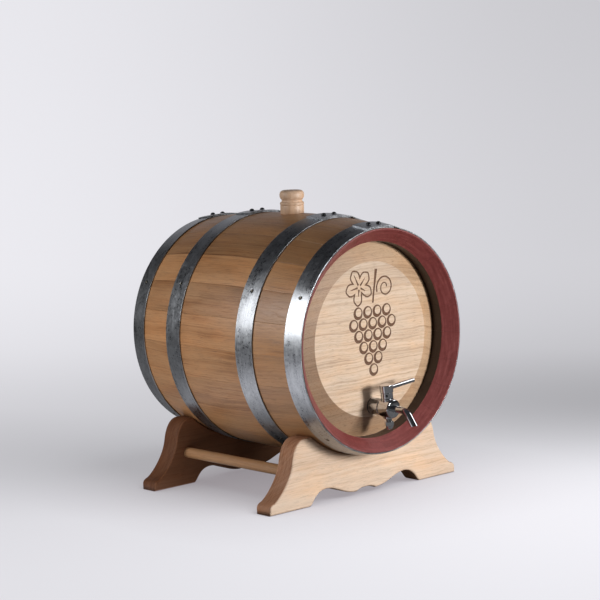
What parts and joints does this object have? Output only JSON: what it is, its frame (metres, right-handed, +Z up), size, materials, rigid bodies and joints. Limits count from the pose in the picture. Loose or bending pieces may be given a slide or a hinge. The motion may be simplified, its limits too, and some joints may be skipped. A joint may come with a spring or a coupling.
{
  "type": "oak wine barrel on stand",
  "caption": "Small oak barrel lying on a two-board cradle stand, bound by steel hoops, with a turned bung on top and a metal plug-cock tap in its front head.",
  "frame": {"origin": "on the floor, under the middle of the whole object's box, tap included, so the middle of the barrel itself is 24.5 mm behind it, at y = +0.0245", "axes": "+Z up; the barrel's axis runs along Y and the tap is at the -Y end; +X is to the right for someone facing the tap"},
  "size_m": [0.315, 0.351, 0.3615],
  "materials": {
    "stave_oak": "planed and oiled oak, straight grain",
    "head_oak": "sanded pale oak",
    "cradle_oak": "sanded pale oak",
    "dowel_oak": "turned oak",
    "bung_oak": "turned oak",
    "hoop_steel": "galvanised steel band, satin, mottled",
    "rivet_steel": "dark domed heads",
    "nail_steel": "dull",
    "tap_chrome": "polished",
    "washer_rubber": "matt"
  },
  "bodies": {
    "stand": {"cradle_front": "cradle_oak", "cradle_rear": "cradle_oak", "stretcher_left": "dowel_oak", "stretcher_right": "dowel_oak"},
    "barrel": {"stave_bung": "stave_oak", "stave_left_01": "stave_oak", "stave_left_02": "stave_oak", "stave_left_03": "stave_oak", "stave_left_04": "stave_oak", "stave_left_05": "stave_oak", "stave_left_06": "stave_oak", "stave_left_07": "stave_oak", "stave_left_08": "stave_oak", "stave_left_09": "stave_oak", "stave_left_10": "stave_oak", "stave_right_01": "stave_oak", "stave_right_02": "stave_oak", "stave_right_03": "stave_oak", "stave_right_04": "stave_oak", "stave_right_05": "stave_oak", "stave_right_06": "stave_oak", "stave_right_07": "stave_oak", "stave_right_08": "stave_oak", "stave_right_09": "stave_oak", "stave_right_10": "stave_oak", "stave_bottom": "stave_oak", "head_front_board_1": "head_oak", "head_front_board_2": "head_oak", "head_front_board_3": "head_oak", "head_front_board_4": "head_oak", "head_rear_board_1": "head_oak", "head_rear_board_2": "head_oak", "head_rear_board_3": "head_oak", "head_rear_board_4": "head_oak", "head_dowel_pins": "dowel_oak", "hoop_head_front": "hoop_steel", "hoop_bilge_front": "hoop_steel", "hoop_bilge_rear": "hoop_steel", "hoop_head_rear": "hoop_steel", "hoop_rivets": "rivet_steel", "hoop_nails": "nail_steel", "tap_body": "tap_chrome", "tap_spout": "tap_chrome", "tap_outer_washer": "washer_rubber", "tap_inner_washer": "washer_rubber", "tap_lock_nut": "tap_chrome"},
    "bung": {"bung": "bung_oak"},
    "tap_key": {"tap_plug": "tap_chrome", "tap_handle_hub": "tap_chrome", "tap_lever": "tap_chrome", "tap_set_screw": "rivet_steel", "tap_spring_washers": "tap_chrome", "tap_cap_nut": "tap_chrome"}
  },
  "joints": [
    {"name": "barrel_lift", "type": "slide", "parent": "stand", "child": "barrel", "axis": [0, 0, 1], "range_m": [0, 0.12]},
    {"name": "bung_lift", "type": "slide", "parent": "barrel", "child": "bung", "axis": [0, 0, 1], "range_m": [0, 0.06]},
    {"name": "tap_turn", "type": "hinge", "parent": "barrel", "child": "tap_key", "pos_m": [0, -0.13079, 0.1085], "axis": [-0.0872, 0, 0.9962], "range_deg": [-200, 20]}
  ]
}
